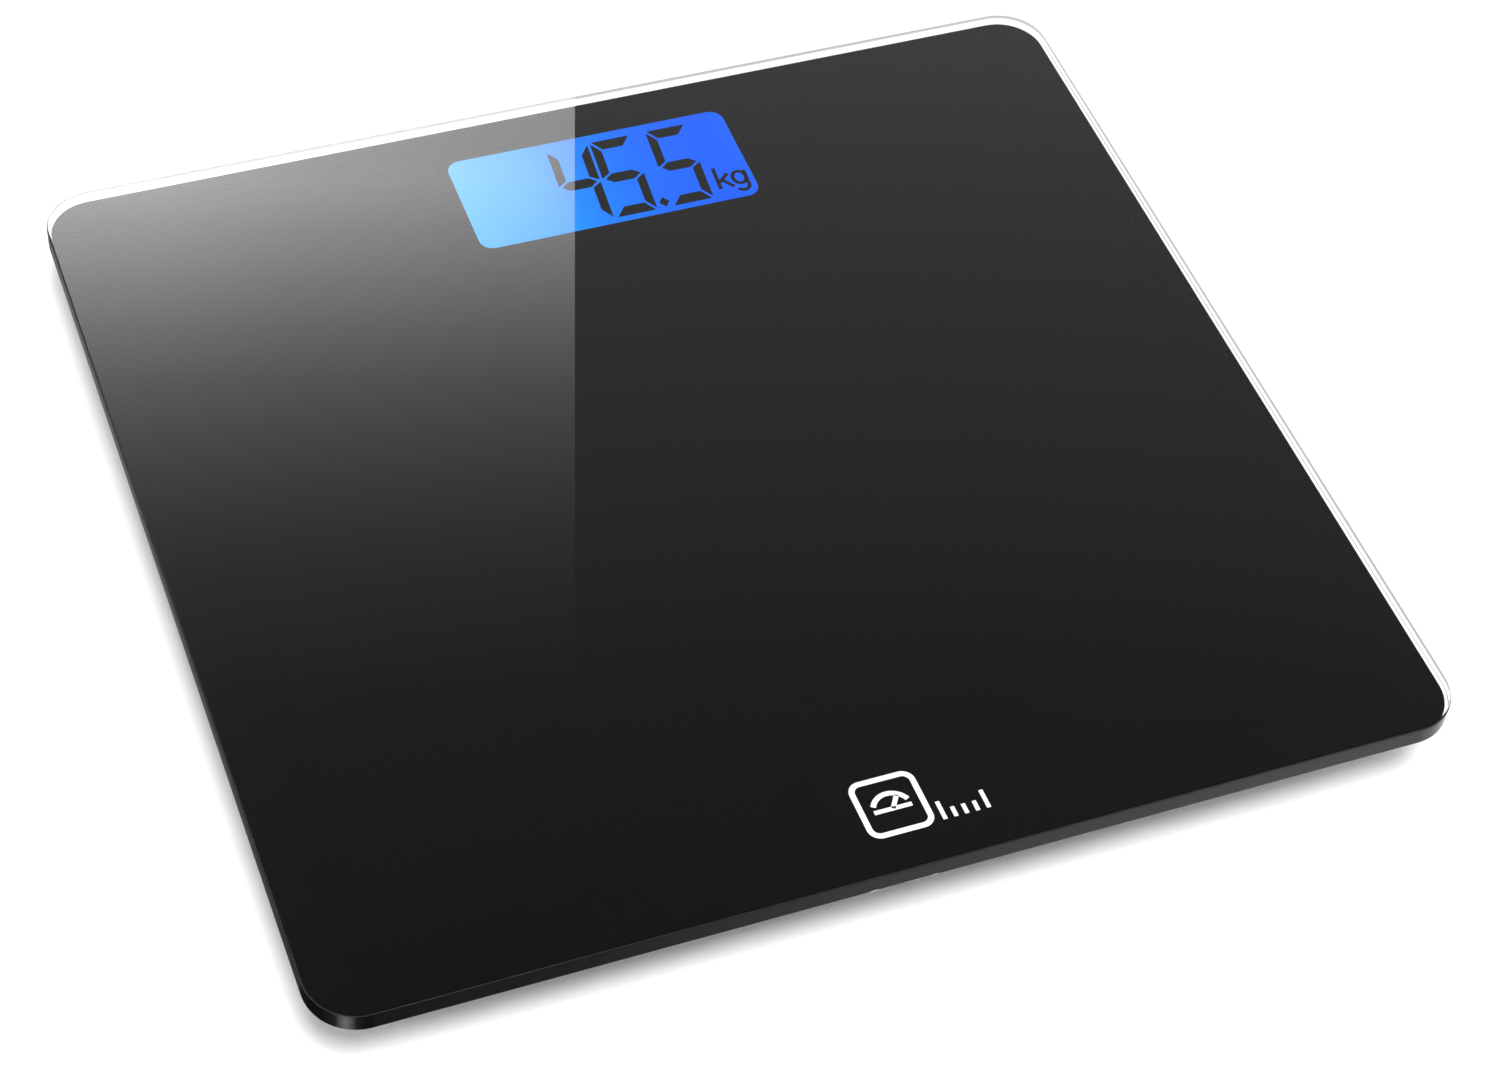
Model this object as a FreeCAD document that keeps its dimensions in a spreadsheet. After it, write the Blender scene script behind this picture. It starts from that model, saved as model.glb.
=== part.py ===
"""Glass-topped digital body-weight scale: a parametric FreeCAD document, in millimetres.

The scale stands on four feet. X runs to the user's right, Y runs away from the user towards the display,
and Z runs up. The origin is the middle of the footprint, on the floor.
"""

import FreeCAD, Part

import math
import os
from types import SimpleNamespace

import Sketcher
from FreeCAD import Rotation, Vector

# Every driving dimension, by its alias in the spreadsheet.
DIMENSIONS = {
    # glass platform
    "platform_width": 300.0,
    "platform_depth": 280.0,
    "platform_height": 23.5,
    "glass_thickness": 6.0,
    "corner_radius": 13.5,
    "arris_radius": 0.5,
    # black print under the glass
    "print_inset": 1.0,
    "print_thickness": 0.2,
    "tape_thickness": 0.3,
    # display window and the module behind it
    "display_x": 4.5,
    "display_y": 108.2,
    "window_width": 83.0,
    "window_depth": 36.0,
    "window_radius": 4.0,
    "bezel_width": 92.0,
    "bezel_depth": 44.0,
    "bezel_wall": 1.6,
    "bezel_lip": 0.6,
    "panel_thickness": 2.8,
    "guide_width": 84.0,
    "guide_depth": 36.5,
    "reflector_thickness": 0.2,
    # electronics housing
    "housing_width": 112.0,
    "housing_depth": 75.0,
    "housing_y": 95.2,
    "housing_bottom": 3.6,
    "housing_wall": 2.0,
    "housing_floor": 1.8,
    "housing_radius": 6.0,
    # battery bay
    "bay_x": -20.0,
    "bay_length": 52.0,
    "bay_depth": 22.6,
    "bay_wall": 1.6,
    "bay_ceiling": 0.8,
    "battery_radius": 5.25,
    "battery_length": 44.5,
    "battery_nub": 1.2,
    "battery_spacing": 11.4,
    "contact_thickness": 0.4,
    "door_width": 50.0,
    "door_thickness": 1.6,
    "door_gap": 0.2,
    "rail_depth": 1.4,
    "rail_height": 0.8,
    # circuit board
    "board_bottom": 9.0,
    "board_thickness": 1.2,
    "board_width": 104.0,
    "board_depth": 40.0,
    "tab_width": 32.0,
    "tab_depth": 28.0,
    "tab_x": 34.0,
    "boss_radius": 2.6,
    "screw_spread_x": 98.0,
    "screw_spread_y": 34.0,
    "screw_radius": 1.0,
    # unit button
    "button_x": 34.0,
    "button_y": 69.2,
    "button_radius": 4.0,
    "button_travel": 0.4,
    # feet
    "foot_x": 110.0,
    "foot_y": 100.0,
    "foot_radius": 24.0,
    "foot_wall": 2.0,
    "foot_top": 2.0,
    "foot_skirt_bottom": 6.5,
    "cap_radius": 20.5,
    "cap_bottom": 2.0,
    "pad_radius": 17.0,
    "cell_side": 30.0,
    "cell_thickness": 2.0,
    "cell_bottom": 11.2,
    # sensor cables
    "cable_radius": 1.0,
}
# The bend radii of the front cables and of the back ones, along the route from foot to circuit board.
FRONT_BENDS = [40.0, 40.0, 12.0, 4.5]
BACK_BENDS = [12.0, 14.0, 4.5]
# The corners of the platform: name, side in x, side in y, and the way that the foot's cable
# leaves, in degrees.
CORNERS = [
    ("front_left", -1, -1, 90),
    ("front_right", 1, -1, 90),
    ("back_left", -1, 1, 0),
    ("back_right", 1, 1, 180),
]


class Size:
    """A length worked out from the sheet: its number now, and the expression that keeps it right."""

    def __init__(self, number, text):
        self.number = float(number)
        self.text = text

    def __add__(self, other):
        return Size(self.number + number_of(other), f"({self.text} + {text_of(other)})")

    def __radd__(self, other):
        return Size(number_of(other) + self.number, f"({text_of(other)} + {self.text})")

    def __sub__(self, other):
        return Size(self.number - number_of(other), f"({self.text} - {text_of(other)})")

    def __rsub__(self, other):
        return Size(number_of(other) - self.number, f"({text_of(other)} - {self.text})")

    def __mul__(self, other):
        return Size(self.number * number_of(other), f"({self.text} * {text_of(other)})")

    __rmul__ = __mul__

    def __truediv__(self, other):
        return Size(self.number / number_of(other), f"({self.text} / {text_of(other)})")

    def __neg__(self):
        return Size(-self.number, f"(0 - {self.text})")


def number_of(value):
    return value.number if isinstance(value, Size) else float(value)


def text_of(value):
    return value.text if isinstance(value, Size) else f"({value})"


doc = FreeCAD.newDocument("glass_scale")
parts = []  # the finished sub-parts, in order


def make_sheet():
    """Writes the driving dimensions to the sheet, and returns them as sizes by name."""
    sheet = doc.addObject("Spreadsheet::Sheet", "Dimensions")
    for row, (alias, value) in enumerate(DIMENSIONS.items(), start=1):
        sheet.set(f"A{row}", alias)
        sheet.set(f"B{row}", str(value))
        sheet.setAlias(f"B{row}", alias)
    doc.recompute()
    return SimpleNamespace(**{a: Size(v, f"Dimensions.{a}") for a, v in DIMENSIONS.items()})


dim = make_sheet()
# Heights that many pieces share.
glass_bottom = dim.platform_height - dim.glass_thickness
print_bottom = glass_bottom - dim.print_thickness
mount_height = print_bottom - dim.tape_thickness  # the top of everything taped under the platform
floor_top = dim.housing_bottom + dim.housing_floor
board_top = dim.board_bottom + dim.board_thickness
panel_top = mount_height - dim.bezel_lip
panel_bottom = panel_top - dim.panel_thickness
housing_front = dim.housing_y - dim.housing_depth / 2
bay_front = housing_front + dim.housing_wall
bay_y = bay_front + dim.bay_depth / 2
cable_height = mount_height - dim.cable_radius - 0.1


def bind(item, prop, size):
    """Sets a property, by an expression if its size comes from the sheet."""
    if isinstance(size, Size):
        item.setExpression(prop, size.text)
    else:
        setattr(item, prop, size)


def place(item, x=0, y=0, z=0, turn=0.0):
    """Puts an item at x, y, z, turned by so many degrees about Z."""
    item.Placement = FreeCAD.Placement(
        Vector(number_of(x), number_of(y), number_of(z)), Rotation(Vector(0, 0, 1), turn)
    )
    for axis, size in (("x", x), ("y", y), ("z", z)):
        if isinstance(size, Size):
            item.setExpression(f"Placement.Base.{axis}", size.text)
    return item


def keep(item, label):
    """Names a finished sub-part. Its label is the name of its file."""
    item.Label = label
    parts.append(item)
    return item


# Part primitives and booleans


def block(name, width, depth, height, x=0, y=0, z=0):
    """A box centred on x and y, standing on z."""
    item = doc.addObject("Part::Box", name)
    bind(item, "Length", width)
    bind(item, "Width", depth)
    bind(item, "Height", height)
    return place(item, x - width / 2, y - depth / 2, z)


def rod(name, radius, height, x=0, y=0, z=0):
    """An upright cylinder standing on z."""
    item = doc.addObject("Part::Cylinder", name)
    bind(item, "Radius", radius)
    bind(item, "Height", height)
    return place(item, x, y, z)


def cross_rod(name, radius, length, x, y, z, along):
    """A cylinder lying along "x" or "y", from its low end."""
    item = rod(name, radius, length, x, y, z)
    laid_down = {"x": Rotation(Vector(0, 1, 0), 90), "y": Rotation(Vector(1, 0, 0), -90)}
    item.Placement = FreeCAD.Placement(item.Placement.Base, laid_down[along])
    return item


def fuse(name, pieces):
    item = doc.addObject("Part::MultiFuse", name)
    item.Shapes = pieces
    return item


def group(name, pieces):
    """Several separate solids in one item."""
    item = doc.addObject("Part::Compound", name)
    item.Links = pieces
    return item


def cut(name, base, tools):
    item = doc.addObject("Part::Cut", name)
    item.Base = base
    item.Tool = tools[0] if len(tools) == 1 else fuse(name + "_tools", tools)
    return item


# PartDesign bodies


def make_body(name):
    return doc.addObject("PartDesign::Body", name)


def sketch_on(body, name, role):
    """A sketch on one of the body's own origin planes."""
    sketch = body.newObject("Sketcher::SketchObject", name)
    plane = next(f for f in body.Origin.OriginFeatures if f.Role == role)
    sketch.AttachmentSupport = (plane, [""])
    sketch.MapMode = "FlatFace"
    return sketch


def outline(sketch, points):
    """A closed outline of straight lines through points, each held at its distances from the origin."""
    flat = [Vector(number_of(x), number_of(y), 0) for x, y in points]
    count = len(points)
    for i in range(count):
        sketch.addGeometry(Part.LineSegment(flat[i], flat[(i + 1) % count]), False)
    for i in range(count):
        sketch.addConstraint(Sketcher.Constraint("Coincident", i, 2, (i + 1) % count, 1))
    for i, point in enumerate(points):
        for kind, word, size in zip(("DistanceX", "DistanceY"), ("across", "up"), point):
            at = sketch.addConstraint(Sketcher.Constraint(kind, -1, 1, i, 1, number_of(size)))
            if isinstance(size, Size):
                sketch.renameConstraint(at, f"{word}_{i}")
                sketch.setExpression(f"Constraints.{word}_{i}", size.text)
    return sketch


def pad(body, name, width, depth, height, x=0, y=0):
    """A rectangular pad centred on x and y, up from the body's own ground plane."""
    sketch = sketch_on(body, name + "_sketch", "XY_Plane")
    left, right = x - width / 2, x + width / 2
    front, back = y - depth / 2, y + depth / 2
    outline(sketch, [(left, front), (right, front), (right, back), (left, back)])
    feature = body.newObject("PartDesign::Pad", name)
    feature.Profile = sketch
    bind(feature, "Length", height)
    doc.recompute()
    return feature


def turned(name, profile):
    """A body turned about Z, from its profile of (radius, height) points."""
    body = make_body(name)
    sketch = outline(sketch_on(body, name + "_sketch", "XZ_Plane"), profile)
    feature = body.newObject("PartDesign::Revolution", name + "_turned")
    feature.Profile = sketch
    feature.ReferenceAxis = (sketch, ["V_Axis"])
    feature.Angle = 360.0
    return body


def edges_where(feature, test):
    return [f"Edge{i}" for i, edge in enumerate(feature.Shape.Edges, start=1) if test(edge)]


def is_upright(edge):
    low, high = edge.BoundBox.ZMin, edge.BoundBox.ZMax
    return edge.BoundBox.XLength + edge.BoundBox.YLength < 1e-6 and high - low > 1e-6


def round_edges(body, base, name, radius, test):
    feature = body.newObject("PartDesign::Fillet", name)
    feature.Base = (base, edges_where(base, test))
    bind(feature, "Radius", radius)
    doc.recompute()
    return feature


def rounded_plate(name, width, depth, height, radius, x=0, y=0, z=0):
    """A flat plate with rounded corners, centred on x and y and standing on z."""
    body = make_body(name)
    slab = pad(body, name + "_slab", width, depth, height)
    round_edges(body, slab, name + "_corners", radius, is_upright)
    return place(body, x, y, z)


# Cables and springs, which are swept along a wire


def bent_wire(points, radii):
    """Straight runs joined by tangent arcs, with one radius for each inner point."""
    edges, start = [], Vector(*points[0])
    for before, corner, after, radius in zip(points, points[1:], points[2:], radii):
        here = Vector(*corner)
        back = (Vector(*before) - here).normalize()
        ahead = (Vector(*after) - here).normalize()
        half_turn = (math.pi - back.getAngle(ahead)) / 2
        reach = radius * math.tan(half_turn)
        first, last = here + back * reach, here + ahead * reach
        inward = (back + ahead).normalize()
        middle = here + inward * (radius / math.cos(half_turn) - radius)
        edges += [Part.LineSegment(start, first).toShape(), Part.Arc(first, middle, last).toShape()]
        start = last
    edges.append(Part.LineSegment(start, Vector(*points[-1])).toShape())
    return Part.Wire(edges)


def swept(name, wire, radius):
    """A round bar of that radius along a wire."""
    start = wire.Edges[0]
    along = start.tangentAt(start.FirstParameter)
    ring = Part.Wire(Part.makeCircle(radius, start.valueAt(start.FirstParameter), along))
    item = doc.addObject("Part::Feature", name)
    item.Shape = wire.makePipeShell([ring], True, True)
    return item


# The platform


def make_glass():
    body = make_body("glass_platform")
    slab = pad(body, "glass_slab", dim.platform_width, dim.platform_depth, dim.glass_thickness)
    rounded = round_edges(body, slab, "glass_corners", dim.corner_radius, is_upright)
    round_edges(body, rounded, "glass_arris", dim.arris_radius, lambda edge: edge.BoundBox.ZLength < 1e-6)
    keep(place(body, z=glass_bottom), "glass_platform")


def make_print():
    """The opaque black print on the glass's underside, with a window for the display."""
    inset = dim.print_inset
    sheet = rounded_plate(
        "print_sheet",
        dim.platform_width - 2 * inset,
        dim.platform_depth - 2 * inset,
        dim.print_thickness,
        dim.corner_radius - inset,
        z=print_bottom,
    )
    window = rounded_plate(
        "print_window",
        dim.window_width,
        dim.window_depth,
        dim.print_thickness + 2,
        dim.window_radius,
        dim.display_x,
        dim.display_y,
        print_bottom - 1,
    )
    keep(cut("black_print_layer", sheet, [window]), "black_print_layer")


# The feet


def make_foot_housing(corner):
    """A round cup, open downwards, that holds the load cell under its top and keeps the foot cap in."""
    outer, inner = dim.foot_radius, dim.foot_radius - dim.foot_wall
    top, ceiling, bottom = mount_height, mount_height - dim.foot_top, dim.foot_skirt_bottom
    lip, lip_top = dim.cap_radius + 0.4, bottom + 1.2
    edge = 0.8
    cup = turned(
        f"cup_{corner}",
        [
            (0, top),
            (outer - edge, top),
            (outer, top - edge),
            (outer, bottom + edge),
            (outer - edge, bottom),
            (lip, bottom),
            (lip, lip_top),
            (inner, lip_top + 0.6),
            (inner, ceiling),
            (0, ceiling),
        ],
    )
    # A square rib round the load cell, and four posts that its frame bears on.
    rib_low = dim.cell_bottom + 0.8
    cell_top = dim.cell_bottom + dim.cell_thickness
    side = dim.cell_side + 0.6
    rib = cut(
        f"cell_rib_{corner}",
        rounded_plate(f"rib_out_{corner}", side + 1.6, side + 1.6, ceiling - rib_low, 6, z=rib_low),
        [rounded_plate(f"rib_in_{corner}", side, side, 9, 5, z=rib_low - 1)],
    )
    reach = dim.cell_side / 2 - 3.2
    posts = [
        rod(f"post_{corner}_{i}_{j}", 2.2, ceiling - cell_top, i * reach, j * reach, cell_top)
        for i in (-1, 1)
        for j in (-1, 1)
    ]
    exit_slot = block(f"exit_{corner}", 14, 4, 3.6, outer - 4, 0, cell_top - 1.2)
    return cut(f"foot_housing_{corner}", fuse(f"housing_{corner}", [cup, rib, *posts]), [exit_slot])


def make_load_cell(corner):
    """A stamped steel plate: a frame, and a tongue cut free by a U-shaped slot, which the foot bears on."""
    side, thick, low = dim.cell_side, dim.cell_thickness, dim.cell_bottom
    plate = rounded_plate(f"cell_plate_{corner}", side, side, thick, 5, z=low)
    tongue = dim.cell_side / 3
    slot, reach = 2.4, dim.cell_side * 0.6
    tools = [
        block(f"slot_{corner}_{j}", reach, slot, 4, 0, j * (tongue + slot) / 2, low - 1)
        for j in (-1, 1)
    ]
    tools.append(block(f"slot_{corner}_end", slot, tongue + 2 * slot, 4, -(reach + slot) / 2, 0, low - 1))
    tools += [
        rod(f"cell_hole_{corner}_{j}", 1.3, 4, side * 0.4, j * side * 0.27, low - 1) for j in (-1, 1)
    ]
    return cut(f"load_cell_{corner}", plate, tools)


def make_foot_cap(corner):
    """The moving dish under a foot, with a boss that presses on the load cell and a rim kept by the cup."""
    body_r, low = dim.cap_radius, dim.cap_bottom
    rim_r, rim_low, rim_top = body_r + 1.1, dim.foot_skirt_bottom + 1.9, dim.foot_skirt_bottom + 3.2
    boss_r, seat_r = 4.5, dim.pad_radius + 0.2
    return turned(
        f"foot_cap_{corner}",
        [
            (0, low + 0.8),
            (seat_r, low + 0.8),
            (seat_r, low),
            (body_r - 1.2, low),
            (body_r, low + 1.2),
            (body_r, rim_low),
            (rim_r, rim_low),
            (rim_r, rim_top),
            (body_r - 1.8, rim_top),
            (body_r - 1.8, low + 3),
            (boss_r + 1.5, low + 3),
            (boss_r, low + 5),
            (boss_r, dim.cell_bottom),
            (0, dim.cell_bottom),
        ],
    )


def make_foot_pad(corner):
    """A rubber disc with a bevelled rim and two tread grooves."""
    edge, top = dim.pad_radius, dim.cap_bottom + 0.8
    return turned(
        f"foot_pad_{corner}",
        [
            (0, 0),
            (6.0, 0),
            (6.4, 0.6),
            (7.4, 0.6),
            (7.8, 0),
            (11.0, 0),
            (11.4, 0.6),
            (12.4, 0.6),
            (12.8, 0),
            (edge - 0.8, 0),
            (edge, 0.8),
            (edge, top),
            (0, top),
        ],
    )


def make_feet():
    tapes = []
    cell_top = dim.cell_bottom + dim.cell_thickness
    for corner, side_x, side_y, turn in CORNERS:
        x, y = side_x * dim.foot_x, side_y * dim.foot_y
        pieces = {
            "foot_housing": make_foot_housing(corner),
            "load_cell": make_load_cell(corner),
            "foot_cap": make_foot_cap(corner),
            "foot_pad": make_foot_pad(corner),
        }
        for word, item in pieces.items():
            keep(place(item, x, y, 0, turn), f"{word}_{corner}")
        # The potting over the strain gauge sits on the root of the tongue, on the side that the cable leaves.
        gauge_reach = dim.cell_side * 0.38
        angle = math.radians(turn)
        gauge = rounded_plate(f"gauge_{corner}", 5, 8, 1.7, 1.2)
        gauge_x = x + gauge_reach * round(math.cos(angle))
        gauge_y = y + gauge_reach * round(math.sin(angle))
        keep(place(gauge, gauge_x, gauge_y, cell_top, turn), f"gauge_potting_{corner}")
        disc = rod(f"tape_disc_{corner}", dim.foot_radius - 1, dim.tape_thickness, x, y, mount_height)
        hole = rod(f"tape_hole_{corner}", 8, 4, x, y, mount_height - 1)
        tapes.append(cut(f"tape_{corner}", disc, [hole]))
    keep(group("foot_tapes", tapes), "foot_adhesive_pads")


# The display module, from the window down


def make_display():
    x, y = dim.display_x, dim.display_y
    wall = dim.bezel_wall
    inner_width, inner_depth = dim.bezel_width - 2 * wall, dim.bezel_depth - 2 * wall
    frame = rounded_plate(
        "bezel_outside", dim.bezel_width, dim.bezel_depth, mount_height - board_top, 2.5, x, y, board_top
    )
    cavity = block("bezel_cavity", inner_width, inner_depth, panel_top - board_top, x, y, board_top)
    opening = rounded_plate(
        "bezel_opening", dim.window_width + 2, dim.window_depth + 2, 9, 4.5, x, y, board_top
    )
    keep(cut("display_bezel", frame, [cavity, opening]), "display_bezel")
    panel = block("lcd", inner_width - 0.4, inner_depth - 0.4, dim.panel_thickness, x, y, panel_bottom)
    keep(panel, "lcd_panel")
    guide_x, guide_y = x + 2, y + 1.75
    width, depth, film = dim.guide_width, dim.guide_depth, dim.reflector_thickness
    keep(block("reflector", width, depth, film, guide_x, guide_y, board_top), "backlight_reflector")
    guide_low = board_top + film
    guide = block("guide", width, depth, panel_bottom - guide_low, guide_x, guide_y, guide_low)
    keep(guide, "backlight_light_guide")
    led_x = guide_x - dim.guide_width / 2 - 1.2
    leds = [
        block(f"led_{i}", 1.6, 3.2, 2.0, led_x, y + offset, board_top)
        for i, offset in enumerate((-8, 10))
    ]
    keep(group("leds", leds), "backlight_leds")
    strip_y = guide_y - dim.guide_depth / 2 - 1.6
    keep(block("strip", 80, 2.2, panel_bottom - board_top, x, strip_y, board_top), "zebra_strip")


# The circuit board and what is on it


def screw_places():
    """Where the board is screwed down: its four corners, and one on the tab that carries the switch."""
    spread_x, spread_y = dim.screw_spread_x / 2, dim.screw_spread_y / 2
    x, y = dim.display_x, dim.display_y
    corners = [(x + i * spread_x, y + j * spread_y) for i in (-1, 1) for j in (-1, 1)]
    return [*corners, (dim.tab_x + 12, dim.button_y - 4)]


def make_board():
    thick, low = dim.board_thickness, dim.board_bottom
    main = block("board_main", dim.board_width, dim.board_depth, thick, dim.display_x, dim.display_y, low)
    tab_y = dim.display_y - dim.board_depth / 2 - dim.tab_depth / 2 + 1
    tab = block("board_tab", dim.tab_width, dim.tab_depth, thick, dim.tab_x, tab_y, low)
    holes = [
        rod(f"board_hole_{i}", dim.screw_radius + 0.3, 4, x, y, low - 1)
        for i, (x, y) in enumerate(screw_places())
    ]
    keep(cut("circuit_board", fuse("board_outline", [main, tab]), holes), "circuit_board")


def make_screws():
    """Pan-head screws with a cross recess, which hold the board to the housing."""
    screws = []
    for i, (x, y) in enumerate(screw_places()):
        head = rod(f"screw_head_{i}", 2.1, 1.4, x, y, board_top)
        shank = rod(f"screw_shank_{i}", dim.screw_radius, 5.0, x, y, board_top - 4.5)
        slots = [
            block(f"screw_slot_{i}_{j}", *size, 2, x, y, board_top + 0.7)
            for j, size in enumerate([(2.6, 0.6), (0.6, 2.6)])
        ]
        screws.append(cut(f"screw_{i}", fuse(f"screw_blank_{i}", [head, shank]), slots))
    keep(group("screws", screws), "board_screws")


def make_components():
    """The epoxy dome over the controller, and the small parts soldered beside it under the board."""
    dome_x, dome_y = dim.display_x - 12, dim.display_y
    dome_r, dome_h = 7.0, 1.7
    ball_r = (dome_r**2 + dome_h**2) / (2 * dome_h)
    ball = doc.addObject("Part::Sphere", "dome_ball")
    ball.Radius = ball_r
    place(ball, dome_x, dome_y, dim.board_bottom + ball_r - dome_h)
    slab = block("dome_slab", 20, 20, dome_h, dome_x, dome_y, dim.board_bottom - dome_h)
    dome = doc.addObject("Part::Common", "dome")
    dome.Base, dome.Tool = ball, slab
    keep(dome, "controller_potting")
    chips = [
        ("amplifier", 5.0, 4.0, 1.5, 12, 6),
        ("capacitor_one", 2.0, 1.3, 1.0, 22, -8),
        ("capacitor_two", 2.0, 1.3, 1.0, 22, -4),
        ("capacitor_three", 2.0, 1.3, 1.0, 28, 10),
        ("resistor_one", 2.0, 1.2, 0.6, -28, -6),
        ("resistor_two", 2.0, 1.2, 0.6, -28, -2),
        ("resistor_three", 2.0, 1.2, 0.6, -28, 2),
        ("regulator", 3.0, 1.8, 1.3, 30, -8),
    ]
    small = [
        block(name, w, d, h, dim.display_x + x, dim.display_y + y, dim.board_bottom - h)
        for name, w, d, h, x, y in chips
    ]
    keep(group("components", small), "board_components")


# The unit button and the switch that it works


def make_button():
    x, y, radius = dim.button_x, dim.button_y, dim.button_radius
    switch_low = dim.board_bottom - 1.6
    plunger_low = switch_low - 0.5
    body = block("switch_case", 6, 6, 1.6, x, y, switch_low)
    well = rod("switch_well", 1.3, 1.2, x, y, switch_low)
    keep(cut("switch_body", body, [well]), "tact_switch_body")
    keep(rod("plunger", 1.0, 1.0, x, y, plunger_low), "tact_switch_plunger")
    face, flange_low, flange_top = dim.housing_bottom + 0.3, floor_top + 0.1, floor_top + 0.8
    cap = turned(
        "unit_button",
        [
            (0, face + 0.25),
            (radius - 1.4, face),
            (radius - 0.4, face),
            (radius, face + 0.4),
            (radius, flange_low),
            (radius + 1.2, flange_low),
            (radius + 1.2, flange_top),
            (1.6, flange_top),
            (1.6, plunger_low),
            (0, plunger_low),
        ],
    )
    keep(place(cap, x, y), "unit_button")


# The electronics housing


def make_housing():
    """A shallow tray taped under the glass: it holds the display, the board and the battery bay."""
    x, y, wall = dim.display_x, dim.housing_y, dim.housing_wall
    low, height = dim.housing_bottom, mount_height - dim.housing_bottom
    width, depth, radius = dim.housing_width, dim.housing_depth, dim.housing_radius
    shell = rounded_plate("tray_outside", width, depth, height, radius, x, y, low)
    hollow = rounded_plate(
        "tray_hollow", width - 2 * wall, depth - 2 * wall, height, radius - wall, x, y, floor_top
    )
    tray = cut("tray", shell, [hollow])
    bay_top = mount_height - dim.bay_ceiling
    side_x = dim.bay_length / 2 + dim.bay_wall / 2
    full_depth = dim.bay_depth + dim.bay_wall
    middle_y = bay_y + dim.bay_wall / 2
    wall_height = mount_height - floor_top
    added = [
        block(
            f"bay_side_{i}", dim.bay_wall, full_depth, wall_height, dim.bay_x + i * side_x, middle_y, floor_top
        )
        for i in (-1, 1)
    ]
    back_y = bay_front + dim.bay_depth + dim.bay_wall / 2
    added += [
        block("bay_back", dim.bay_length, dim.bay_wall, wall_height, dim.bay_x, back_y, floor_top),
        block("bay_lid", dim.bay_length, full_depth, dim.bay_ceiling, dim.bay_x, middle_y, bay_top),
    ]
    added += [
        rod(f"boss_{i}", dim.boss_radius, dim.board_bottom - floor_top, bx, by, floor_top)
        for i, (bx, by) in enumerate(screw_places())
    ]
    removed = [
        rod(f"boss_hole_{i}", dim.screw_radius + 0.05, 3.5, bx, by, dim.board_bottom - 3.5)
        for i, (bx, by) in enumerate(screw_places())
    ]
    # The doorway runs out through the front face, with a rail groove along each side.
    doorway_depth = dim.housing_wall + dim.bay_depth
    doorway_y = housing_front + doorway_depth / 2
    rail_width = dim.door_width + 2 * dim.rail_depth
    removed += [
        block("doorway", dim.door_width, doorway_depth, dim.housing_floor, dim.bay_x, doorway_y, low),
        block("rails", rail_width, doorway_depth, dim.rail_height, dim.bay_x, doorway_y, low + 0.5),
        rod("button_hole", dim.button_radius + 0.3, 4, dim.button_x, dim.button_y, low - 1),
        rod("button_dish", dim.button_radius + 2.5, 0.5, dim.button_x, dim.button_y, low),
    ]
    # Notches in the rim of both side walls let the sensor cables in.
    for side, word in ((-1, "left"), (1, "right")):
        edge = x + side * width / 2
        for place_word, at in (("front", dim.display_y - 9), ("back", dim.display_y + 9)):
            removed.append(block(f"notch_{word}_{place_word}", 6, 2.6, 3.2, edge, at, mount_height - 3.2))
    housing = cut("housing", fuse("tray_with_bay", [tray, *added]), removed)
    keep(housing, "electronics_housing")


def make_door():
    """The battery door slides out of the housing's front on two tongues. Its face has grip grooves."""
    gap, low = dim.door_gap, dim.housing_bottom
    depth = dim.housing_wall + dim.bay_depth - gap
    y = housing_front + depth / 2
    plate = block("door_plate", dim.door_width - 2 * gap, depth, dim.door_thickness, dim.bay_x, y, low)
    tongue_width = dim.door_width + 2 * dim.rail_depth - 2 * gap
    tongue_height = dim.rail_height - gap
    tongues = block("door_tongues", tongue_width, depth - 3, tongue_height, dim.bay_x, y + 1, low + 0.6)
    grooves = [
        block(f"grip_{i}", 18, 0.9, 0.5, dim.bay_x, housing_front + 5 + 2 * i, low) for i in range(5)
    ]
    keep(cut("door", fuse("door_blank", [plate, tongues]), grooves), "battery_door")


def make_batteries():
    """Two cells side by side, facing opposite ways, with their springs and contact plates."""
    length, nub, radius = dim.battery_length, dim.battery_nub, dim.battery_radius
    left = dim.bay_x - dim.bay_length / 2 + dim.contact_thickness
    right = dim.bay_x + dim.bay_length / 2 - dim.contact_thickness
    z = dim.housing_bottom + dim.door_thickness + radius + 0.3
    rows = {"front": bay_y - dim.battery_spacing / 2, "back": bay_y + dim.battery_spacing / 2}
    for word, y in rows.items():
        can_x = right - length if word == "front" else left + nub
        nub_x = right - nub if word == "front" else left
        can = cross_rod(f"can_{word}", radius, length - nub, can_x, y, z, "x")
        tip = cross_rod(f"nub_{word}", 1.9, nub, nub_x, y, z, "x")
        keep(fuse(f"cell_{word}", [can, tip]), f"battery_{word}")
    thick = dim.contact_thickness
    plate_height = 9.0
    plate_low = z - plate_height / 2
    plates = [
        block("link_plate", thick, 20, plate_height, left - thick / 2, bay_y, plate_low),
        block("plus_plate", thick, 8.6, plate_height, right + thick / 2, rows["front"], plate_low),
        block("minus_plate", thick, 8.6, plate_height, right + thick / 2, rows["back"], plate_low),
    ]
    keep(group("contacts", plates), "battery_contacts")
    room = right - left - length
    springs = [
        make_leaf_spring("spring_front", room, left, rows["front"], z, 0),
        make_leaf_spring("spring_back", room, right, rows["back"], z, 180),
    ]
    keep(group("springs", springs), "battery_springs")


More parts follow.
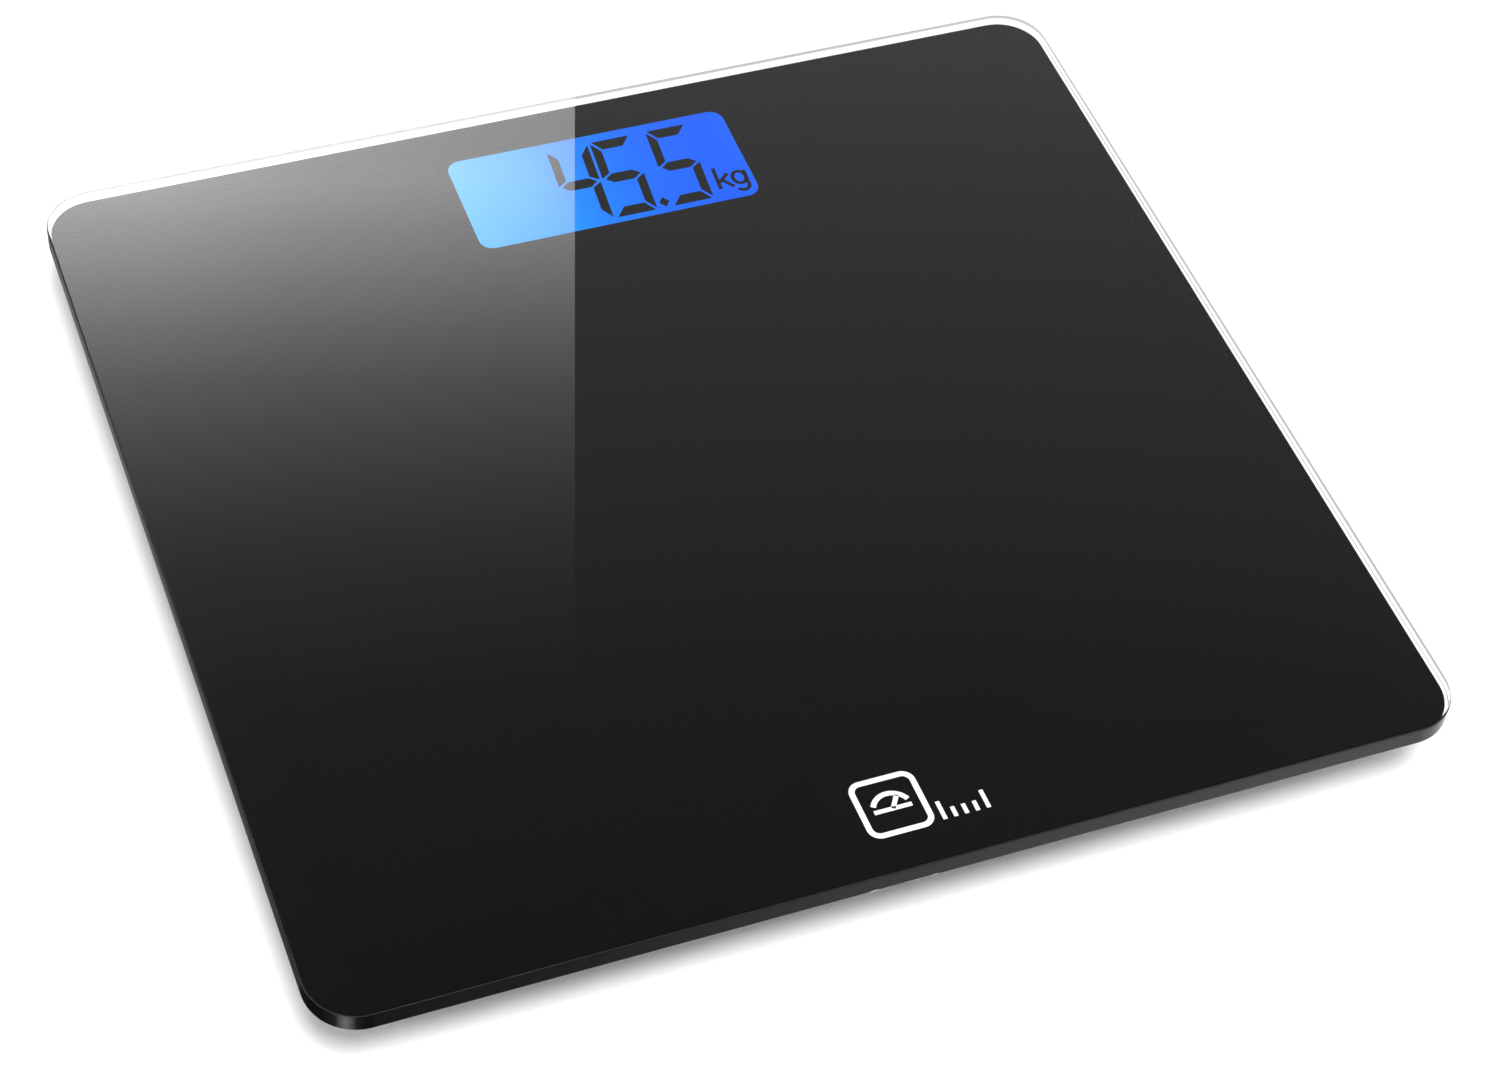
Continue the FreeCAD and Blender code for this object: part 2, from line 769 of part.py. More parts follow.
def make_leaf_spring(name, reach, x, y, z, turn):
    """A bowed strip that stands on a contact plate and presses on the flat end of a battery."""
    thick, height, foot, nose = 0.45, 6.0, 4.3, 1.2
    profile = [
        (0, -foot),
        (reach, -nose),
        (reach, nose),
        (0, foot),
        (0, foot - 1.3 * thick),
        (reach - thick, nose - 0.3 * thick),
        (reach - thick, 0.3 * thick - nose),
        (0, 1.3 * thick - foot),
    ]
    body = make_body(name)
    sketch = outline(sketch_on(body, name + "_sketch", "XY_Plane"), profile)
    strip = body.newObject("PartDesign::Pad", name + "_strip")
    strip.Profile = sketch
    strip.Length = height
    return place(body, x, y, z - height / 2, turn)


def make_tapes_and_label():
    """The foam tape on the housing's rim and on its battery bay, and a blank label under the housing."""
    x, y, wall, tape = dim.display_x, dim.housing_y, dim.housing_wall, dim.tape_thickness
    width, depth, radius = dim.housing_width, dim.housing_depth, dim.housing_radius
    ring = cut(
        "rim_tape",
        rounded_plate("rim_tape_outside", width, depth, tape, radius, x, y, mount_height),
        [
            rounded_plate(
                "rim_tape_inside", width - 2 * wall, depth - 2 * wall, 4, radius - wall, x, y, mount_height - 1
            )
        ],
    )
    bay_tape = block("bay_tape", dim.bay_length - 4, dim.bay_depth - 4, tape, dim.bay_x, bay_y, mount_height)
    keep(group("housing_tape", [ring, bay_tape]), "housing_foam_tape")
    label = rounded_plate("label", 46, 20, 0.1, 2, dim.display_x, dim.display_y + 2, dim.housing_bottom - 0.1)
    keep(label, "rating_label")


# The sensor cables


def cable_route(side_x, side_y):
    """One cable from its load cell to the board: its points, and a bend radius for each inner one."""
    x, y = side_x * dim.foot_x.number, side_y * dim.foot_y.number
    start_z = dim.cell_bottom.number + dim.cell_thickness.number + dim.cable_radius.number + 0.05
    run_z = cable_height.number
    edge = dim.display_x.number + side_x * dim.housing_width.number / 2
    drop = edge - side_x * 7
    start = dim.cell_side.number * 0.38 + 2.5
    skirt = dim.foot_radius.number
    entry = dim.display_y.number + side_y * 9
    if side_y < 0:
        route = [
            (x, y + start, start_z),
            (x, y + skirt + 6, start_z),
            (x - side_x * 4, y + skirt + 26, run_z),
            (edge + side_x * 20, entry, run_z),
        ]
        bends = FRONT_BENDS
    else:
        route = [
            (x - side_x * start, y, start_z),
            (x - side_x * (skirt + 4), y, start_z),
            (edge + side_x * 14, entry, run_z),
        ]
        bends = BACK_BENDS
    return [*route, (drop, entry, run_z), (drop, entry, board_top.number)], bends


def make_cables():
    clips = []
    for corner, side_x, side_y, _ in CORNERS:
        points, radii = cable_route(side_x, side_y)
        cable = swept(f"cable_{corner}", bent_wire(points, radii), dim.cable_radius.number)
        keep(cable, f"sensor_cable_{corner}")
        if side_y < 0:
            (x0, y0, z0), (x1, y1, _) = points[2], points[3]
            for i, share in enumerate((0.3, 0.75)):
                x, y = x0 + (x1 - x0) * share, y0 + (y1 - y0) * share
                clips.append(make_clip(f"clip_{corner}_{i}", x, y, z0, x1 - x0, y1 - y0))
    keep(group("clips", clips), "cable_clips")


def make_clip(name, x, y, z, run_x, run_y):
    """A stick-on saddle over a cable that runs along (run_x, run_y)."""
    clip_low = z - dim.cable_radius.number - 1.2
    saddle = rounded_plate(f"{name}_saddle", 12, 8, print_bottom - clip_low, 2, 0, 0, 0)
    groove = cross_rod(f"{name}_groove", dim.cable_radius + 0.15, 12, 0, -6, z - clip_low, "y")
    mouth = block(f"{name}_mouth", 2 * dim.cable_radius + 0.3, 12, 4, 0, 0, z - clip_low)
    clip = cut(name, saddle, [groove, mouth])
    turn = math.degrees(math.atan2(run_y, run_x)) - 90
    return place(clip, x, y, clip_low, turn)


def check_and_export():
    """Stops if any object failed, then writes one STEP file for each sub-part."""
    doc.recompute()
    failed = [o.Name for o in doc.Objects if "Invalid" in o.State or "Error" in o.State]
    if failed:
        raise SystemExit(f"failed objects: {failed}")
    labels = [item.Label for item in parts]
    if len(set(labels)) != len(labels):
        raise SystemExit("two sub-parts share a label")
    for item in parts:
        shape = item.Shape
        if shape.isNull() or not shape.isValid() or not shape.Solids:
            raise SystemExit(f"{item.Label} has no valid solid")
    os.makedirs("parts", exist_ok=True)
    for item in parts:
        item.Shape.exportStep(f"parts/{item.Label}.step")
    print(f"{len(parts)} sub-parts, {sum(len(item.Shape.Solids) for item in parts)} solids")


make_glass()
make_print()
make_feet()
make_display()
make_board()
make_screws()
make_components()
make_button()
make_housing()
make_door()
make_batteries()
make_tapes_and_label()
make_cables()
check_and_export()
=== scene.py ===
import math

import bmesh
import bpy
from mathutils import Matrix, Vector


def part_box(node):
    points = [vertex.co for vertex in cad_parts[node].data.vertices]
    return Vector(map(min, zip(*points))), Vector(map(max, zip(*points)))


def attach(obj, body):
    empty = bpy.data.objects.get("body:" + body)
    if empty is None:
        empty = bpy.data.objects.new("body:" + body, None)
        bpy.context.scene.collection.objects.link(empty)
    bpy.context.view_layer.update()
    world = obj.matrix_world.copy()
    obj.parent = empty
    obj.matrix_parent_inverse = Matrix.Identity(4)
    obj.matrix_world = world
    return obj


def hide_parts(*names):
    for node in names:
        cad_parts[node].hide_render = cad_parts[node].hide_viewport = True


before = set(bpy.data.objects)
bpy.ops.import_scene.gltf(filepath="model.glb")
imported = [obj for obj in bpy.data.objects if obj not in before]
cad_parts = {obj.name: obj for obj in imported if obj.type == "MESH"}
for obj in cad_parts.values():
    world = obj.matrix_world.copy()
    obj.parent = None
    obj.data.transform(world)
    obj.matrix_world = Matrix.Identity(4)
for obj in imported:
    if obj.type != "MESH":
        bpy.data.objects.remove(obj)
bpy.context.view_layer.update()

MM = 0.001
scene = bpy.context.scene

# ---------------------------------------------------------------- sizes that the CAD gives
glass_low, glass_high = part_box("glass_platform")
film_low, film_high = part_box("black_print_layer")
panel_low, panel_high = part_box("lcd_panel")
bezel_low, bezel_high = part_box("display_bezel")
TOP = glass_high[2]
GLASS_IOR = 1.52
RIM = 7 * MM  # the strip along the glass's rim that is rendered as clear glass over print
FADE = 18 * MM  # how gently that clear glass gives way to black glass
MARK_BOX = ((-30 * MM, -150 * MM), (48 * MM, -88 * MM))  # the pictogram and its surroundings
WINDOW_REACH = 3 * MM  # how far the clear glass goes past the display's bezel before it fades
DULL_FROM, DULL_TO = 3.4 * MM, 2.4 * MM  # depths below the top between which the rim turns dull

# ---------------------------------------------------------------- camera
CAMERA_AZIMUTH = math.radians(-25.7)
CAMERA_ELEVATION = math.radians(49.4)
CAMERA_ROLL = math.radians(6.7)
CAMERA_DISTANCE = 0.866
CAMERA_LENS = 80.6
AIM = Vector((-0.0038, -0.0312, TOP))


def camera_axes():
    """The camera's right, up and back directions."""
    a, e = CAMERA_AZIMUTH, CAMERA_ELEVATION
    back = Vector((math.sin(a) * math.cos(e), -math.cos(a) * math.cos(e), math.sin(e)))
    right = Vector((0, 0, 1)).cross(back).normalized()
    up = back.cross(right)
    c, s = math.cos(CAMERA_ROLL), math.sin(CAMERA_ROLL)
    return right * c + up * s, up * c - right * s, back


def pose_from(right, up, back, place):
    """A world matrix with those axes at that place."""
    turn = Matrix((right, up, back)).transposed().to_4x4()
    return Matrix.Translation(place) @ turn


right, up, back = camera_axes()
camera_data = bpy.data.cameras.new("camera")
camera_data.lens = CAMERA_LENS
camera_data.sensor_width = 36.0
camera_data.clip_start, camera_data.clip_end = 0.01, 50
camera = bpy.data.objects.new("camera", camera_data)
camera.matrix_world = pose_from(right, up, back, AIM + back * CAMERA_DISTANCE)
scene.collection.objects.link(camera)
scene.camera = camera
scene.view_settings.view_transform = "Standard"


# ---------------------------------------------------------------- node helpers
PATCHES = 40  # cells in a metre of the slow colour change that every plain finish has


def node_material(name):
    """A new material with its node tree, its output and its principled shader."""
    material = bpy.data.materials.new(name)
    material.use_nodes = True
    tree = material.node_tree
    shader = tree.nodes["Principled BSDF"]
    return material, tree, shader


def add(tree, kind, **values):
    node = tree.nodes.new(kind)
    for key, value in values.items():
        setattr(node, key, value)
    return node


def ramp_of(tree, source, stops):
    """A colour ramp fed by source, with (position, colour) stops."""
    ramp = add(tree, "ShaderNodeValToRGB")
    elements = ramp.color_ramp.elements
    while len(elements) > 1:
        elements.remove(elements[-1])
    for i, (at, colour) in enumerate(stops):
        element = elements[0] if i == 0 else elements.new(at)
        element.position = at
        element.color = (*colour, 1) if len(colour) == 3 else colour
    tree.links.new(source, ramp.inputs["Fac"])
    return ramp


def grey(value):
    return (value, value, value)


def math_node(tree, operation, *values, **settings):
    """A Math node's output. Each value is a number or an output socket."""
    node = add(tree, "ShaderNodeMath", operation=operation, **settings)
    for socket, value in zip(node.inputs, values):
        if isinstance(value, (int, float)):
            socket.default_value = value
        else:
            tree.links.new(value, socket)
    return node.outputs[0]


def mix_of(tree, share, first, second):
    """A Mix Shader of two shader nodes."""
    mix = add(tree, "ShaderNodeMixShader")
    tree.links.new(share, mix.inputs["Fac"])
    tree.links.new(first.outputs[0], mix.inputs[1])
    tree.links.new(second.outputs[0], mix.inputs[2])
    return mix


def noise_at(tree, scale, detail=3.0, stretch=(1, 1, 1)):
    """Noise in the object's own coordinates. The scale counts cells in a metre."""
    where = add(tree, "ShaderNodeTexCoord")
    mapping = add(tree, "ShaderNodeMapping")
    mapping.inputs["Scale"].default_value = stretch
    noise = add(tree, "ShaderNodeTexNoise")
    noise.inputs["Scale"].default_value = scale
    noise.inputs["Detail"].default_value = detail
    tree.links.new(where.outputs["Object"], mapping.inputs["Vector"])
    tree.links.new(mapping.outputs["Vector"], noise.inputs["Vector"])
    return noise


def finish_with(
    name, dark, light, rough, grain, relief, metal=0.0, coat=0.0, stretch=(1, 1, 1)
):
    """Colour wandering from dark to light in patches; roughness and relief from a finer grain."""
    material, tree, shader = node_material(name)
    cloud = noise_at(tree, PATCHES, 4.0, stretch)
    tone = ramp_of(tree, cloud.outputs["Fac"], [(0.35, dark), (0.65, light)])
    tree.links.new(tone.outputs["Color"], shader.inputs["Base Color"])
    fine = noise_at(tree, grain, 3.0, stretch)
    worn = ramp_of(tree, fine.outputs["Fac"], [(0.3, grey(rough[0])), (0.7, grey(rough[1]))])
    tree.links.new(worn.outputs["Color"], shader.inputs["Roughness"])
    bump = add(tree, "ShaderNodeBump")
    bump.inputs["Strength"].default_value = 1.0
    bump.inputs["Distance"].default_value = relief
    tree.links.new(fine.outputs["Fac"], bump.inputs["Height"])
    tree.links.new(bump.outputs["Normal"], shader.inputs["Normal"])
    shader.inputs["Metallic"].default_value = metal
    shader.inputs["Coat Weight"].default_value = coat
    return material


def wear(material, *nodes):
    """Gives CAD nodes, or pieces, one material."""
    for item in nodes:
        piece = bpy.data.objects[item] if isinstance(item, str) else item
        piece.data.materials.clear()
        piece.data.materials.append(material)


# ---------------------------------------------------------------- glass, print and display looks
def inside_box(tree, split, low, high, fade):
    """1 where the object's x and y lie well between two corners, falling to 0 at their edges."""
    sides = []
    for axis, a, b in (("X", low[0], high[0]), ("Y", low[1], high[1])):
        offset = math_node(tree, "SUBTRACT", split.outputs[axis], (a + b) / 2)
        away = math_node(tree, "ABSOLUTE", offset)
        side = add(tree, "ShaderNodeMapRange", interpolation_type="SMOOTHSTEP")
        side.inputs["From Min"].default_value = (b - a) / 2
        side.inputs["From Max"].default_value = (b - a) / 2 - fade
        tree.links.new(away, side.inputs["Value"])
        sides.append(side.outputs["Result"])
    return math_node(tree, "MULTIPLY", *sides)


def ink_tone(tree):
    """Dense black ink's colour, with the faint mottle of a screen print."""
    mottle = noise_at(tree, 900.0, 2.0)
    return mottle, ramp_of(tree, mottle.outputs["Fac"], [(0.3, grey(0.0012)), (0.7, grey(0.0024))])


def black_glass(tree):
    """Glass over black print, as one glossy surface: the look of the printed field."""
    shader = add(tree, "ShaderNodeBsdfPrincipled")
    tree.links.new(ink_tone(tree)[1].outputs["Color"], shader.inputs["Base Color"])
    shader.inputs["IOR"].default_value = GLASS_IOR
    shader.inputs["Roughness"].default_value = 0.0
    return shader


def glass_material():
    """Clear glass. Lamps shine through it, so the floor beside it and the print stay lit."""
    material, tree, shader = node_material("clear_glass")
    shader.inputs["Transmission Weight"].default_value = 1.0
    shader.inputs["IOR"].default_value = GLASS_IOR
    shader.inputs["Roughness"].default_value = 0.0
    haze = noise_at(tree, 9.0, 2.0)
    tint = ramp_of(tree, haze.outputs["Fac"], [(0.3, grey(0.985)), (0.7, grey(1.0))])
    tree.links.new(tint.outputs["Color"], shader.inputs["Base Color"])

    where = add(tree, "ShaderNodeTexCoord")
    place = add(tree, "ShaderNodeSeparateXYZ")
    tree.links.new(where.outputs["Object"], place.inputs["Vector"])
    # The printed field, less the window, the pictogram and a strip along the rim, is black glass.
    low, high = [v + RIM for v in glass_low], [v - RIM for v in glass_high]
    field = inside_box(tree, place, low, high, FADE)
    reach = WINDOW_REACH + FADE
    low, high = [v - reach for v in bezel_low], [v + reach for v in bezel_high]
    window = inside_box(tree, place, low, high, FADE)
    mark = inside_box(tree, place, *MARK_BOX, FADE)
    holes = math_node(tree, "MAXIMUM", window, mark)
    solid = math_node(tree, "SUBTRACT", field, holes, use_clamp=True)
    surface = mix_of(tree, solid, shader, black_glass(tree))

    # Light that reaches the upright rim from inside goes straight out, as through a polished
    # edge. The upper part of that rim is ground dull, and shows as a pale grey line from above.
    facing = add(tree, "ShaderNodeNewGeometry")
    split = add(tree, "ShaderNodeSeparateXYZ")
    tree.links.new(facing.outputs["True Normal"], split.inputs["Vector"])
    steep = math_node(tree, "ABSOLUTE", split.outputs["Z"])
    upright = math_node(tree, "LESS_THAN", steep, 0.35)
    from_inside = math_node(tree, "MULTIPLY", upright, facing.outputs["Backfacing"])
    height = add(tree, "ShaderNodeMapRange")
    height.inputs["From Min"].default_value = TOP - DULL_FROM
    height.inputs["From Max"].default_value = TOP - DULL_TO
    tree.links.new(place.outputs["Z"], height.inputs["Value"])
    dull = ramp_of(tree, height.outputs["Result"], [(0.0, grey(1.0)), (1.0, grey(0.46))])
    exit_light = add(tree, "ShaderNodeBsdfTransparent")
    tree.links.new(dull.outputs["Color"], exit_light.inputs["Color"])
    surface = mix_of(tree, from_inside, surface, exit_light)

    light_path = add(tree, "ShaderNodeLightPath")
    clear = add(tree, "ShaderNodeBsdfTransparent")
    surface = mix_of(tree, light_path.outputs["Is Shadow Ray"], surface, clear)
    tree.links.new(surface.outputs["Shader"], tree.nodes["Material Output"].inputs["Surface"])
    return material


def print_material():
    """The ink on the glass's underside."""
    material, tree, shader = node_material("black_print")
    mottle, tone = ink_tone(tree)
    tree.links.new(tone.outputs["Color"], shader.inputs["Base Color"])
    rough = ramp_of(tree, mottle.outputs["Fac"], [(0.3, grey(0.5)), (0.7, grey(0.62))])
    tree.links.new(rough.outputs["Color"], shader.inputs["Roughness"])
    shader.inputs["Specular IOR Level"].default_value = 0.0
    return material


def display_material():
    """The lit face: deep blue from its backlight, turning cyan towards its low-x end, with a faint
    weave. The cyan towards the low-x end is painted reflection of the softbox's glare.
    """
    material, tree, shader = node_material("display_glow")
    where = add(tree, "ShaderNodeTexCoord")
    split = add(tree, "ShaderNodeSeparateXYZ")
    tree.links.new(where.outputs["Generated"], split.inputs["Vector"])
    # Painted reflection: the cyan stops at low x stand in for the softbox's glare over the display;
    # the deep blue is the backlight's own glow.
    glow_and_painted_glare = ramp_of(
        tree,
        split.outputs["X"],
        [
            (0.02, (0.07, 0.46, 1.0)),
            (0.25, (0.03, 0.37, 1.0)),
            (0.37, (0.004, 0.27, 1.0)),
            (0.45, (0.0, 0.22, 1.0)),
            (0.65, (0.0, 0.15, 1.0)),
            (0.9, (0.0, 0.115, 1.0)),
            (1.0, (0.0, 0.13, 1.0)),
        ],
    )
    cells = noise_at(tree, 260.0, 2.0)
    weave = ramp_of(tree, cells.outputs["Fac"], [(0.3, grey(0.97)), (0.7, grey(1.0))])
    blend = add(tree, "ShaderNodeMix", data_type="RGBA", blend_type="MULTIPLY")
    blend.inputs["Factor"].default_value = 1.0
    tree.links.new(glow_and_painted_glare.outputs["Color"], blend.inputs[6])
    tree.links.new(weave.outputs["Color"], blend.inputs[7])
    tree.links.new(blend.outputs[2], shader.inputs["Emission Color"])
    shader.inputs["Emission Strength"].default_value = 1.05
    shader.inputs["Base Color"].default_value = (0.0, 0.0, 0.0, 1)
    shader.inputs["Roughness"].default_value = 0.35
    shader.inputs["Specular IOR Level"].default_value = 0.0
    return material


# ---------------------------------------------------------------- mesh helpers
def mesh_piece(name, mesh, body, material, smooth=False):
    piece = bpy.data.objects.new(name, mesh)
    scene.collection.objects.link(piece)
    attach(piece, body)
    wear(material, piece)
    for polygon in mesh.polygons:
        polygon.use_smooth = smooth
    return piece


def flat_plates(name, outlines, low, high):
    """A mesh of upright plates, one for each closed outline of (x, y) points in metres."""
    mesh = bpy.data.meshes.new(name)
    bm = bmesh.new()
    for outline in outlines:
        lower = [bm.verts.new((x, y, low)) for x, y in outline]
        upper = [bm.verts.new((x, y, high)) for x, y in outline]
        bm.faces.new(upper)
        bm.faces.new(lower[::-1])
        for i in range(len(outline)):
            j = (i + 1) % len(outline)
            bm.faces.new((lower[i], lower[j], upper[j], upper[i]))
    bmesh.ops.recalc_face_normals(bm, faces=bm.faces)
    bmesh.ops.triangulate(bm, faces=[f for f in bm.faces if len(f.verts) > 4])
    bm.to_mesh(mesh)
    bm.free()
    return mesh


def arc_points(cx, cy, radius, start, end, count):
    """Points along an arc, with its angles in degrees."""
    for i in range(count + 1):
        a = math.radians(start + (end - start) * i / count)
        yield cx + radius * math.cos(a), cy + radius * math.sin(a)


def stroke(points, width):
    """Quads that follow a line of points with square ends, mitred where it turns."""
    half = width / 2
    sides = []
    for i, point in enumerate(points):
        here = Vector(point)
        before = (here - Vector(points[i - 1])).normalized() if i else None
        after = (Vector(points[i + 1]) - here).normalized() if i + 1 < len(points) else None
        along = ((before or after) + (after or before)).normalized()
        across = Vector((-along.y, along.x))
        leaving = after or before
        reach = half / max(0.3, abs(across.dot(Vector((-leaving.y, leaving.x)))))
        sides.append((here + across * reach, here - across * reach))
    return [
        [tuple(a[0]), tuple(a[1]), tuple(b[1]), tuple(b[0])] for a, b in zip(sides, sides[1:])
    ]


# ---------------------------------------------------------------- the black print on the glass
CONTACT = 0.03 * MM  # how far the ink reaches into the glass, so that no air is left between


def make_print():
    source = bpy.data.objects["black_print_layer"]
    mesh = source.data.copy()
    mesh.name = "print_in_contact"
    for vertex in mesh.vertices:
        if vertex.co.z > (film_low[2] + film_high[2]) / 2:
            vertex.co.z = film_high[2] + CONTACT
    film = mesh_piece("print_in_contact", mesh, "platform", print_material())
    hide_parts("black_print_layer")


# ---------------------------------------------------------------- the lit face of the display
FACE_TOP = film_high[2] + CONTACT
WINDOW_RADIUS = 4.0 * MM
FACE_INSET = 0.05 * MM
HAIR = 0.005 * MM  # the least gap between faces that lie on each other
INK = 0.02 * MM


def window_outline(inset):
    """The print's display window, drawn in by the inset, as a rounded outline."""
    rim = [v.co for v in bpy.data.objects["black_print_layer"].data.vertices if in_window(v.co)]
    low_x, high_x = min(c.x for c in rim) + inset, max(c.x for c in rim) - inset
    low_y, high_y = min(c.y for c in rim) + inset, max(c.y for c in rim) - inset
    radius = WINDOW_RADIUS - inset
    outline = []
    for x, y, start in (
        (high_x, high_y, 0),
        (low_x, high_y, 90),
        (low_x, low_y, 180),
        (high_x, low_y, 270),
    ):
        cx = x - radius if x == high_x else x + radius
        cy = y - radius if y == high_y else y + radius
        outline += arc_points(cx, cy, radius, start, start + 90, 8)
    return outline


def in_window(co):
    return bezel_low[0] < co.x < bezel_high[0] and bezel_low[1] < co.y < bezel_high[1]


def make_display_face():
    """The display's bright front, bonded to the glass in the window of the print."""
    outline = window_outline(FACE_INSET)
    mesh = flat_plates("display_face", [outline], panel_high[2] + 2 * HAIR, FACE_TOP)
    mesh_piece("display_face", mesh, "platform", display_material())


# ---------------------------------------------------------------- the digits on the display
DIGIT_HEIGHT = 30.9 * MM
DIGIT_WIDTH = 12.2 * MM
UPRIGHT, LEVEL = 2.6 * MM, 3.6 * MM  # how thick the upright and the level segments are
SEGMENT_GAP = 0.45 * MM
SLANT = 0.075
DIGITS = {"4": "fgbc", "5": "afgcd"}
DIGIT_PLACES = [("4", -8.5), ("5", 4.5), ("5", 21.4)]  # left sides at middle height, in mm
DIGIT_MIDDLE = 108.5
SIGHT_X, SIGHT_Y = -0.4 * MM, -0.85 * MM  # the digits lie right under the glass


def segment_outline(letter):
    """One mitred segment of a seven-segment digit, about the digit's own centre."""
    w, h, v, t, gap = DIGIT_WIDTH / 2, DIGIT_HEIGHT / 2, UPRIGHT, LEVEL, SEGMENT_GAP
    if letter == "g":
        reach, tip = w - v - gap, w - 2 * gap
        upper = [(-tip, 0), (-reach, t / 2), (reach, t / 2)]
        return upper + [(-x, -y) for x, y in upper]
    if letter in "ad":
        points = [(-w + gap, h), (w - gap, h), (w - v - gap, h - t), (-w + v + gap, h - t)]
    else:
        drop = 1.4 * gap
        points = [(-w, h - drop), (-w + v, h - t - drop), (-w + v, t / 2 + gap), (-w, gap)]
    flip_x = -1 if letter in "bc" else 1
    flip_y = -1 if letter in "cde" else 1
    return [(x * flip_x, y * flip_y) for x, y in points]


def unit_strokes():
    """The unit beside the digits, a small k and g, as lines of points in millimetres."""
    stem, foot, head = 35.6, 95.7, 104.3
    letter_k = [
        [(stem, foot), (stem + 0.5, head)],
        [(stem + 3.8, foot + 5.6), (stem + 0.6, foot + 2.6)],
        [(stem + 1.5, foot + 3.5), (stem + 4.1, foot)],
    ]
    bowl_x, bowl_y, wide, tall = 42.3, 98.9, 1.9, 2.4
    bowl = [(bowl_x + wide * x, bowl_y + tall * y) for x, y in arc_points(0, 0, 1, 0, 360, 24)]
    hook = [(bowl_x - 0.1 + wide * x, 95.6 + 1.9 * y) for x, y in arc_points(0, 0, 1, 0, -150, 12)]
    return [*letter_k, bowl, [(bowl_x + wide + 0.2, bowl_y + tall), *hook]]


def make_digits():
    outlines = []
    for digit, left in DIGIT_PLACES:
        cx, cy = left * MM + DIGIT_WIDTH / 2, DIGIT_MIDDLE * MM
        for letter in DIGITS[digit]:
            outlines.append([(cx + x + SLANT * y, cy + y) for x, y in segment_outline(letter)])
    dot_x, dot_y, wide, tall = 18.3 * MM, 95.3 * MM, 1.5 * MM, 2.0 * MM
    steps = ((-wide, 0), (0, -tall), (wide, 0), (0, tall))
    outlines.append([(dot_x + x, dot_y + y) for x, y in steps])
    for line in unit_strokes():
        outlines += stroke([(x * MM, y * MM) for x, y in line], 1.1 * MM)
    outlines = [[(x + SIGHT_X, y + SIGHT_Y) for x, y in outline] for outline in outlines]
    mesh = flat_plates("display_digits", outlines, FACE_TOP + HAIR, FACE_TOP + INK)
    ink = finish_with("display_ink", grey(0.0008), grey(0.002), (0.4, 0.55), 2000, 0.0)
    ink.node_tree.nodes["Principled BSDF"].inputs["Specular IOR Level"].default_value = 0.0
    mesh_piece("display_digits", mesh, "platform", ink)


# ---------------------------------------------------------------- a plain pictogram on the front
def make_pictogram():
    """A dial with a needle over a plate, and a short row of scale ticks beside it."""
    cx, cy = 0.5 * MM, -119.0 * MM
    half, thick = 8.0 * MM, 1.5 * MM
    lean = -0.02
    corner = 2.6 * MM
    frame_line = []
    flat = half - corner
    for sx, sy, start in ((1, 1, 0), (-1, 1, 90), (-1, -1, 180), (1, -1, 270)):
        frame_line += arc_points(cx + sx * flat, cy + sy * flat, corner, start, start + 90, 8)
    frame_line.append(frame_line[0])
    outlines = stroke(frame_line, thick)
    outlines += stroke(list(arc_points(cx, cy - 1.6 * MM, 5.0 * MM, 25, 155, 20)), thick * 0.9)
    base = cy - 1.2 * MM
    outlines += stroke([(cx - 5.0 * MM, base), (cx + 5.0 * MM, base)], thick * 0.8)
    outlines += stroke([(cx, base), (cx + 2.4 * MM, cy + 2.4 * MM)], thick * 0.8)
    for i, tall in enumerate((5.5, 3.0, 3.0, 3.0, 5.5)):
        x = cx + (11.0 + 2.9 * i) * MM
        outlines += stroke([(x, cy - 8.0 * MM), (x, cy + (tall - 8.0) * MM)], 1.1 * MM)
    outlines = [[(x + lean * (y - cy), y) for x, y in outline] for outline in outlines]
    mesh = flat_plates("white_pictogram", outlines, FACE_TOP + HAIR, FACE_TOP + INK)
    ink = finish_with("white_ink", grey(0.8), grey(0.9), (0.5, 0.6), 1500, 0.0)
    mesh_piece("white_pictogram", mesh, "platform", ink)


# ---------------------------------------------------------------- looks of the CAD pieces
CORNERS = ("front_left", "front_right", "back_left", "back_right")


def each_corner(*words):
    return [f"{word}_{corner}" for word in words for corner in CORNERS]


